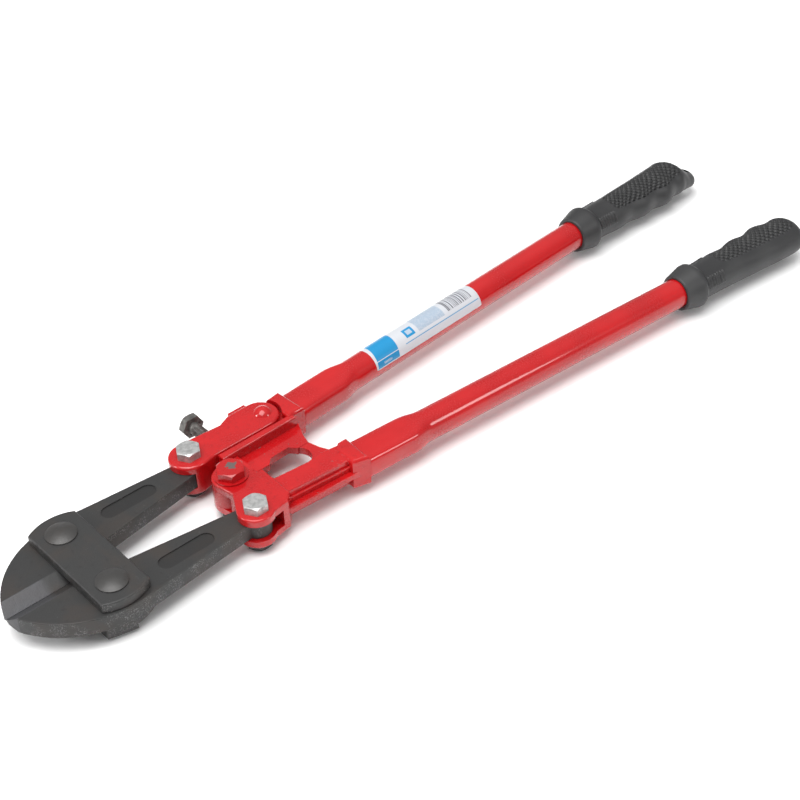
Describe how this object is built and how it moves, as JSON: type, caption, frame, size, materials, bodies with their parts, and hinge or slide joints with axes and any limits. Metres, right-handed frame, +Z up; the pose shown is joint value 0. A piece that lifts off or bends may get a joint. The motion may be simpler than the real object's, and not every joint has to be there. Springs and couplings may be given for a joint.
{
  "type": "bolt cutters",
  "caption": "Two-handed compound-lever bolt cutters with forged jaws, strap plates, a toggle link with adjusting bolt, tubular handles and moulded grips.",
  "frame": {"origin": "middle of the underside of the whole tool, which is the level of the bolts' lower ends, with the handles closed", "axes": "the tool lies flat: +X from the jaw tips towards the grips, +Y towards the handle with the adjusting bolt, +Z up, away from the nuts"},
  "size_m": [0.6388, 0.1448, 0.0357],
  "materials": {
    "jaw_steel": "black phosphated forged steel, satin",
    "dark_fastener": "black phosphated, satin",
    "zinc_fastener": "dull galvanised",
    "painted_fastener": "red paint, worn on top",
    "red_casting": "glossy red paint over a casting",
    "red_tube": "glossy red paint on drawn tube",
    "grip_vinyl": "satin, textured",
    "label_film": "printed film"
  },
  "bodies": {
    "handle_a": {"handle_head_a": "red_casting", "handle_tube_a": "red_tube", "grip_a": "grip_vinyl", "tail_bolt_a": "zinc_fastener", "tail_nut_a": "dark_fastener", "centre_bolt": "painted_fastener", "centre_nut": "dark_fastener"},
    "handle_b": {"handle_head_b": "red_casting", "toggle_link": "red_casting", "link_rivet": "painted_fastener", "handle_tube_b": "red_tube", "grip_b": "grip_vinyl", "tube_label": "label_film", "tail_bolt_b": "zinc_fastener", "tail_nut_b": "dark_fastener"},
    "jaw_a": {"jaw_a": "jaw_steel"},
    "jaw_b": {"jaw_b": "jaw_steel"},
    "strap": {"strap_plate_top": "jaw_steel", "strap_plate_bottom": "jaw_steel", "jaw_pivot_bolts": "dark_fastener", "jaw_pivot_nuts": "dark_fastener"},
    "adjuster": {"adjusting_bolt": "zinc_fastener"}
  },
  "joints": [
    {"name": "handles", "type": "hinge", "parent": "handle_a", "child": "handle_b", "pos_m": [-0.16282, 0, 0.018], "axis": [0, 0, 1], "range_deg": [0, 75]},
    {"name": "jaw_a_tail", "type": "hinge", "parent": "handle_a", "child": "jaw_a", "pos_m": [-0.16982, -0.0333, 0.018], "axis": [0, 0, 1], "range_deg": [0, 44.18]},
    {"name": "jaw_b_tail", "type": "hinge", "parent": "handle_b", "child": "jaw_b", "pos_m": [-0.16982, 0.0333, 0.018], "axis": [0, 0, 1], "range_deg": [-44.18, 0]},
    {"name": "strap_pivot", "type": "hinge", "parent": "jaw_a", "child": "strap", "pos_m": [-0.26502, -0.0262, 0.018], "axis": [0, 0, 1], "range_deg": [-6.68, 0]},
    {"name": "adjusting_screw", "type": "hinge", "parent": "handle_b", "child": "adjuster", "pos_m": [-0.14512, 0.05, 0.018], "axis": [0, 1, 0], "range_deg": [-180, 180]}
  ],
  "couplings": [
    {"joint": "jaw_a_tail", "follows": "handles", "ratio": 0.589},
    {"joint": "jaw_b_tail", "follows": "handles", "ratio": -0.589},
    {"joint": "strap_pivot", "follows": "handles", "ratio": -0.089}
  ]
}
